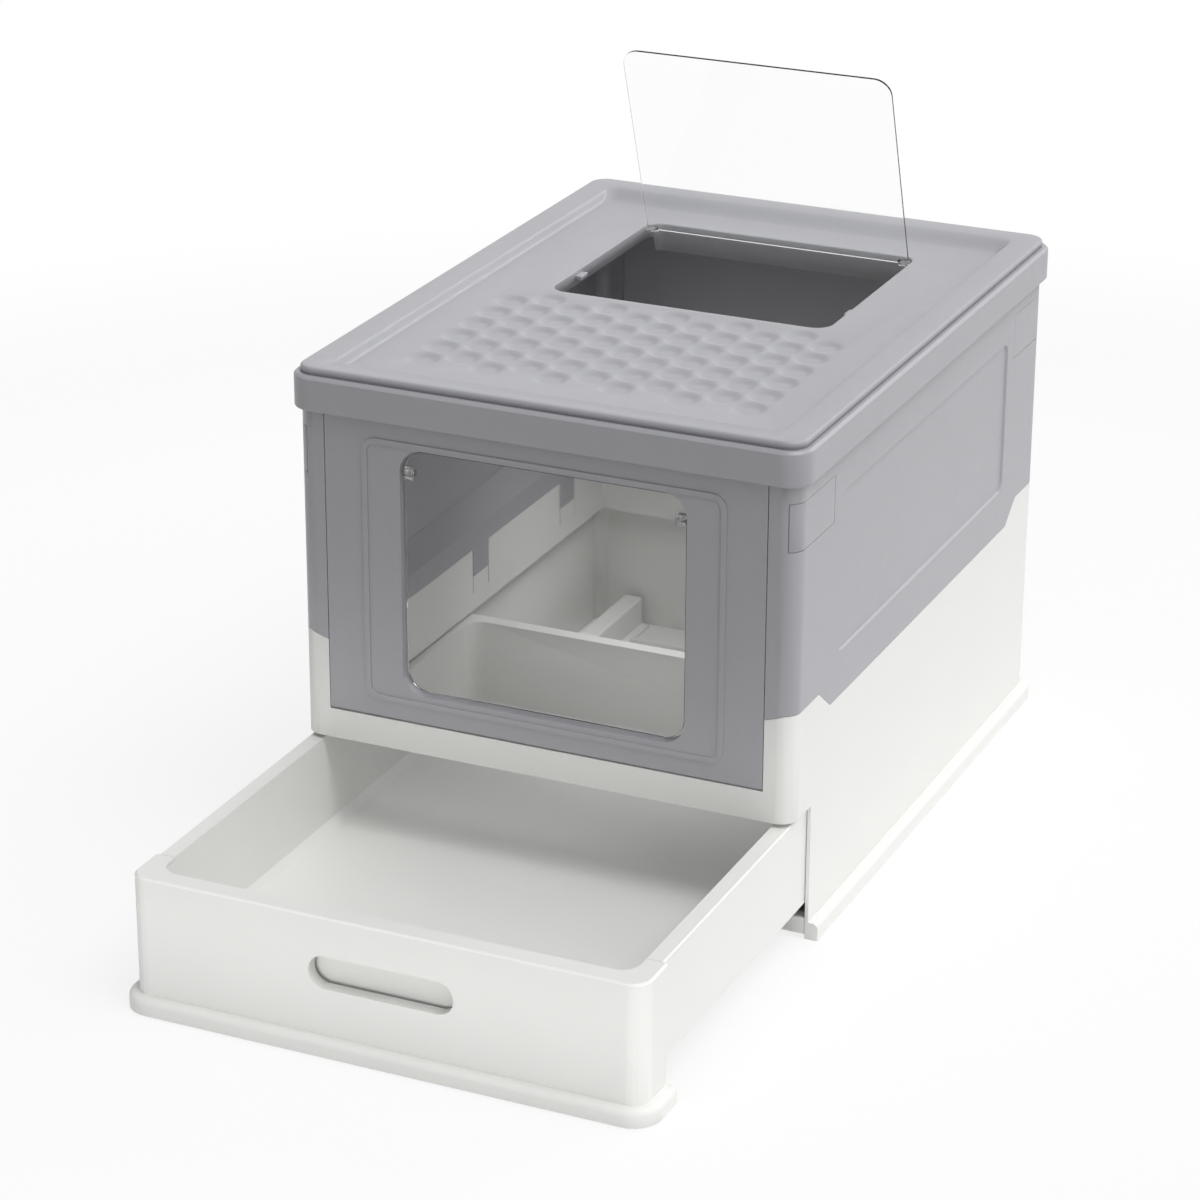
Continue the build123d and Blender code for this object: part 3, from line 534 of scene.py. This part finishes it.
def opening_half():
    """Half the width of the top opening."""
    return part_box("top_flap")[1].x + OPENING_GAP


def lip_loops(field_z):
    """Loops of the skin round the top opening, from the field down the lip."""
    half = opening_half()
    flat = LIP_ROLL + FLAT_STRIP
    loops = [rounded_loop(
        half + flat, OPENING_FRONT - flat, OPENING_REAR + flat, OPENING_CORNER + flat, field_z,
    )]
    for step in range(LIP_STEPS + 1):
        a = math.radians(90 * step / LIP_STEPS)
        out = LIP_ROLL * (1 - math.sin(a))
        z = field_z - LIP_ROLL * (1 - math.cos(a))
        loops.append(rounded_loop(
            half + out, OPENING_FRONT - out, OPENING_REAR + out, OPENING_CORNER + out, z,
        ))
    bottom = rounded_loop(half, OPENING_FRONT, OPENING_REAR, OPENING_CORNER, field_z - LIP_DROP)
    for p in bottom:
        if p.y > OPENING_REAR - LIP_HINGE:
            p.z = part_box("lid_plate")[0].z
    loops.append(bottom)
    return loops


def tread_centres(tread, field_z):
    """Middles of the dimples, column by column."""
    spacing = tread.pitch * math.cos(math.radians(30))  # a dimple is as far from all six round it
    for column in range(tread.columns):
        x = spacing * (column - (tread.columns - 1) / 2)
        shift = 0 if column % 2 else tread.pitch / 2
        for row in range(tread.rows):
            yield Vector((x, TREAD_START - shift - tread.pitch * row, field_z))


def add_dimple(mesh, centre, tread):
    """A dimple's skin; returns the vertices round its rim."""
    rings = loft(mesh, dimple_rings(centre, tread.dimple, tread.dimple_depth))
    middle = mesh.verts.new(centre - Vector((0, 0, tread.dimple_depth)))
    last = rings[-1]
    for a, b in zip(last, last[1:] + last[:1]):
        mesh.faces.new((a, b, middle))
    return rings[0]


def plate_mesh(tread, field_z):
    """The lid plate's skin: its border, its lip, the dimples and the level field between them."""
    mesh = bmesh.new()
    border = loft(mesh, plate_loops(*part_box("lid_plate"), tread))
    lip = loft(mesh, lip_loops(field_z))
    open_edges = loop_edges(mesh, border[-1]) + loop_edges(mesh, lip[0])
    for centre in tread_centres(tread, field_z):
        open_edges += loop_edges(mesh, add_dimple(mesh, centre, tread))
    bmesh.ops.triangle_fill(mesh, use_beauty=True, edges=open_edges, normal=(0, 0, 1))
    bmesh.ops.recalc_face_normals(mesh, faces=mesh.faces)
    return mesh


def add_flap_stops(mesh, field_z):
    """The two ledges in the opening that the top flap comes down on."""
    half = opening_half()
    top = field_z - STOP_DOWN
    for side in (-1, 1):
        inner, outer = sorted((side * (half - STOP_OUT), side * (half + STOP_ROOT)))
        add_block(mesh, (inner, STOP_FRONT, top - STOP_THICK), (outer, STOP_REAR, top), STOP_EDGE)


def add_door_lugs(mesh):
    """A clear block and a round boss at each of the door's pivots."""
    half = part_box("door_flap")[1].x
    for side in (-1, 1):
        inner, outer = sorted((side * (half - LUG_WIDTH), side * half))
        add_block(
            mesh, (inner, DOOR_PIVOT_Y - LUG_FRONT, DOOR_PIVOT_Z - LUG_BELOW),
            (outer, DOOR_PIVOT_Y - LUG_BACK, DOOR_PIVOT_Z + LUG_ABOVE), LUG_EDGE,
        )
        add_boss(
            mesh, side * (half - BOSS_IN), side * (half + BOSS_OUT),
            DOOR_PIVOT_Y, DOOR_PIVOT_Z, BOSS_RADIUS,
        )


# ---------------------------------------------------------------- stage
def seen_directly(material):
    """A factor that is 1 for rays from the camera, a mirror or a clear sheet."""
    path = add_node(material, "ShaderNodeLightPath")
    total = path.outputs["Is Camera Ray"]
    for name in ("Is Glossy Ray", "Is Transmission Ray"):
        join = add_node(material, "ShaderNodeMath", operation="MAXIMUM")
        link(material, total, join.inputs[0])
        link(material, path.outputs[name], join.inputs[1])
        total = join.outputs[0]
    return total


def make_floor(lift):
    """A pale floor that keeps a light shadow, with a painted pool of light: its colour is bright
    round the object and dimmer far away.
    """
    mesh = bmesh.new()
    bmesh.ops.create_grid(mesh, x_segments=1, y_segments=1, size=FLOOR_HALF)
    data = bpy.data.meshes.new("floor")
    mesh.to_mesh(data)
    mesh.free()
    floor = bpy.data.objects.new("floor", data)
    bpy.context.scene.collection.objects.link(floor)
    material, shader = new_material("studio_floor")
    place = add_node(material, "ShaderNodeTexCoord").outputs["Object"]
    reach = add_node(material, "ShaderNodeVectorMath", operation="LENGTH")
    link(material, place, reach.inputs[0])
    far = add_node(material, "ShaderNodeMapRange", interpolation_type="SMOOTHSTEP")
    far.inputs["From Min"].default_value = FLOOR_NEAR
    far.inputs["From Max"].default_value = FLOOR_FAR
    link(material, reach.outputs["Value"], far.inputs["Value"])
    # painted pool of light: the floor's colour fades from bright round the box to dim far away, so
    # more bounce light reaches the box's lower front
    shade = add_node(material, "ShaderNodeValToRGB")
    shade.color_ramp.elements[0].color = (FLOOR_POOL_TONE, FLOOR_POOL_TONE, FLOOR_POOL_TONE, 1)
    shade.color_ramp.elements[1].color = (FLOOR_BEYOND_POOL, FLOOR_BEYOND_POOL, FLOOR_BEYOND_POOL, 1)
    link(material, far.outputs["Result"], shade.inputs["Fac"])
    link(material, shade.outputs["Color"], shader.inputs["Base Color"])
    shader.inputs["Roughness"].default_value = FLOOR_ROUGH
    shader.inputs["Specular IOR Level"].default_value = 0.0
    white = add_node(material, "ShaderNodeMapRange")
    white.inputs["To Min"].default_value = lift
    link(material, far.outputs["Result"], white.inputs["Value"])
    glow = add_node(material, "ShaderNodeEmission")
    share = add_node(material, "ShaderNodeMath", operation="MULTIPLY")
    link(material, seen_directly(material), share.inputs[0])
    link(material, white.outputs["Result"], share.inputs[1])
    mix = add_node(material, "ShaderNodeMixShader")
    link(material, share.outputs[0], mix.inputs["Fac"])
    link(material, shader.outputs["BSDF"], mix.inputs[1])
    link(material, glow.outputs["Emission"], mix.inputs[2])
    output = material.node_tree.nodes["Material Output"]
    link(material, mix.outputs["Shader"], output.inputs["Surface"])
    data.materials.append(material)


def make_world(low, glow):
    """A pale dome, brighter above and behind on the right, and plain white where it is seen."""
    world = bpy.data.worlds.new("studio")
    bpy.context.scene.world = world
    world.use_nodes = True
    dome = world.node_tree.nodes["Background"]
    place = add_node(world, "ShaderNodeTexCoord").outputs["Generated"]
    facing = add_node(world, "ShaderNodeVectorMath", operation="DOT_PRODUCT")
    facing.inputs[1].default_value = Vector(DOME_TOWARD).normalized()
    link(world, place, facing.inputs[0])
    level = add_node(world, "ShaderNodeMapRange")
    level.inputs["To Min"].default_value = low
    level.inputs["To Max"].default_value = low + glow
    link(world, facing.outputs["Value"], level.inputs["Value"])
    link(world, level.outputs["Result"], dome.inputs["Strength"])
    dome.inputs["Color"].default_value = (1.0, 1.0, 1.0, 1)
    seen = add_node(world, "ShaderNodeBackground")
    seen.inputs["Color"].default_value = (1.0, 1.0, 1.0, 1)
    mix = add_node(world, "ShaderNodeMixShader")
    link(world, seen_directly(world), mix.inputs["Fac"])
    link(world, dome.outputs["Background"], mix.inputs[1])
    link(world, seen.outputs["Background"], mix.inputs[2])
    link(world, mix.outputs["Shader"], world.node_tree.nodes["World Output"].inputs["Surface"])


def make_sun(name, strength, toward, spread_degrees):
    """A broad soft light from one side."""
    lamp = bpy.data.lights.new(name, "SUN")
    lamp.energy = strength
    lamp.angle = math.radians(spread_degrees)
    holder = bpy.data.objects.new(name, lamp)
    holder.rotation_euler = Vector(toward).to_track_quat("Z", "Y").to_euler()
    bpy.context.scene.collection.objects.link(holder)


def make_strip_lamp(name, power, place, away, size, spread_degrees):
    """A soft lamp with a grid that shines away from a direction and is itself never seen."""
    lamp = bpy.data.lights.new(name, "AREA")
    lamp.energy = power
    lamp.shape = "RECTANGLE"
    lamp.size, lamp.size_y = size
    lamp.spread = math.radians(spread_degrees)
    holder = bpy.data.objects.new(name, lamp)
    holder.location = place
    holder.rotation_euler = Vector(away).to_track_quat("Z", "Y").to_euler()
    holder.visible_camera = False
    holder.visible_glossy = False
    holder.visible_transmission = False
    bpy.context.scene.collection.objects.link(holder)


def make_camera():
    """The camera, worked out from the photograph's vanishing lines."""
    turn, rise, roll = (math.radians(a) for a in (CAMERA_TURN, CAMERA_RISE, CAMERA_ROLL))
    data = bpy.data.cameras.new("camera")
    data.sensor_width = CAMERA_SENSOR
    data.lens = CAMERA_LENS
    data.clip_end = 100
    camera = bpy.data.objects.new("camera", data)
    bpy.context.scene.collection.objects.link(camera)
    back = Vector((
        math.sin(turn) * math.cos(rise), -math.cos(turn) * math.cos(rise), math.sin(rise),
    ))
    level = Vector((math.cos(turn), math.sin(turn), 0))
    up = level.cross(-back)
    right = level * math.cos(roll) + up * math.sin(roll)
    up = up * math.cos(roll) - level * math.sin(roll)
    axes = Matrix((right, up, back)).transposed().to_4x4()
    camera.matrix_world = Matrix.Translation(CAMERA_PLACE) @ axes
    bpy.context.scene.camera = camera


# ---------------------------------------------------------------- operators
class LITTERBOX_OT_base(bpy.types.Operator):
    """Finish the white base, its floor pan and the drawer runners"""

    bl_idname = "litter_box.base"
    bl_label = "Base"

    def execute(self, context):
        paint(WHITE_BASE, white_plastic())
        soften(("base_shell", "base_floor"), context.scene.litter_box_plastic.edge)
        return {"FINISHED"}


class LITTERBOX_OT_drawer(bpy.types.Operator):
    """Finish the drawer's tub and front"""

    bl_idname = "litter_box.drawer"
    bl_label = "Drawer"

    def execute(self, context):
        paint(WHITE_DRAWER, white_plastic())
        soften(WHITE_DRAWER, context.scene.litter_box_plastic.edge)
        return {"FINISHED"}


class LITTERBOX_OT_walls(bpy.types.Operator):
    """Finish the four grey walls, their hinge pins and the corner clips"""

    bl_idname = "litter_box.walls"
    bl_label = "Walls"

    def execute(self, context):
        paint(GREY_WALLS + GREY_CLIPS + GREY_PINS, grey_plastic())
        soften(GREY_WALLS, context.scene.litter_box_plastic.edge)
        soften(GREY_CLIPS, context.scene.litter_box_plastic.edge / 2)
        return {"FINISHED"}


class LITTERBOX_OT_lid_rim(bpy.types.Operator):
    """Finish the band round the lid"""

    bl_idname = "litter_box.lid_rim"
    bl_label = "Lid Rim"

    def execute(self, context):
        paint(("lid_rim",), grey_plastic())
        soften(("lid_rim",), context.scene.litter_box_plastic.edge)
        return {"FINISHED"}


class LITTERBOX_OT_lid_plate(bpy.types.Operator):
    """Build the lid plate with its raised border, dimpled tread and top opening"""

    bl_idname = "litter_box.lid_plate"
    bl_label = "Lid Plate"

    def execute(self, context):
        tread = context.scene.litter_box_tread
        field_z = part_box("lid_plate")[1].z - tread.depth
        skin = plate_mesh(tread, field_z)
        plate = finish_object("lid_plate_skin", skin, grey_plastic(), "lid")
        shell = plate.modifiers.new("wall", "SOLIDIFY")
        shell.thickness = tread.wall
        shell.offset = -1
        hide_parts("lid_plate")
        stops = bmesh.new()
        add_flap_stops(stops, field_z)
        finish_object("flap_stops", stops, grey_plastic(), "lid")
        return {"FINISHED"}


class LITTERBOX_OT_flaps(bpy.types.Operator):
    """Finish the clear door, the clear top flap and their pivot pins"""

    bl_idname = "litter_box.flaps"
    bl_label = "Clear Flaps"

    def execute(self, context):
        paint(CLEAR_SHEETS, clear_sheet())
        paint(CLEAR_PINS, clear_lug())
        soften(CLEAR_SHEETS, context.scene.litter_box_plastic.edge, sheet=True)
        lugs = bmesh.new()
        add_door_lugs(lugs)
        finish_object("door_lugs", lugs, clear_lug(), "front_door")
        return {"FINISHED"}


class LITTERBOX_OT_stage(bpy.types.Operator):
    """Set up the pale floor, the soft light and the camera"""

    bl_idname = "litter_box.stage"
    bl_label = "Stage"

    def execute(self, context):
        settings = context.scene.litter_box_stage
        make_floor(settings.lift)
        make_world(settings.fill, settings.glow)
        make_sun("key", settings.key, KEY_TOWARD, KEY_SPREAD)
        make_sun("back", settings.rim, BACK_TOWARD, BACK_SPREAD)
        make_strip_lamp("front", settings.front, FRONT_PLACE, (0, -1, 0), FRONT_SIZE, FRONT_SPREAD)
        make_strip_lamp("inner", settings.inner, INNER_PLACE, (0, 0, 1), INNER_SIZE, INNER_SPREAD)
        make_camera()
        context.scene.view_settings.view_transform = "Standard"
        return {"FINISHED"}


class LITTERBOX_PT_panel(bpy.types.Panel):
    """Lists the pieces and their settings"""

    bl_idname = "LITTERBOX_PT_panel"
    bl_label = "Litter Box"
    bl_space_type = "VIEW_3D"
    bl_region_type = "UI"
    bl_category = "Litter Box"

    def draw(self, context):
        scene = context.scene
        for group in (scene.litter_box_plastic, scene.litter_box_tread, scene.litter_box_stage):
            column = self.layout.column(align=True)
            for name in group.__annotations__:
                column.prop(group, name)
        for operator in OPERATORS:
            self.layout.operator(operator.bl_idname)


# ---------------------------------------------------------------- registration
SETTINGS = (PlasticSettings, TreadSettings, StageSettings)
OPERATORS = (
    LITTERBOX_OT_base,
    LITTERBOX_OT_drawer,
    LITTERBOX_OT_walls,
    LITTERBOX_OT_lid_rim,
    LITTERBOX_OT_lid_plate,
    LITTERBOX_OT_flaps,
    LITTERBOX_OT_stage,
)


def register():
    for cls in SETTINGS + OPERATORS + (LITTERBOX_PT_panel,):
        bpy.utils.register_class(cls)
    bpy.types.Scene.litter_box_plastic = PointerProperty(type=PlasticSettings)
    bpy.types.Scene.litter_box_tread = PointerProperty(type=TreadSettings)
    bpy.types.Scene.litter_box_stage = PointerProperty(type=StageSettings)


def unregister():
    del bpy.types.Scene.litter_box_plastic
    del bpy.types.Scene.litter_box_tread
    del bpy.types.Scene.litter_box_stage
    for cls in reversed(SETTINGS + OPERATORS + (LITTERBOX_PT_panel,)):
        bpy.utils.unregister_class(cls)


def main():
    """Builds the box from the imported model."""
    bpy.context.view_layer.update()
    register()
    for operator in OPERATORS:
        group, name = operator.bl_idname.split(".")
        getattr(getattr(bpy.ops, group), name)()


if __name__ == "__main__":
    main()
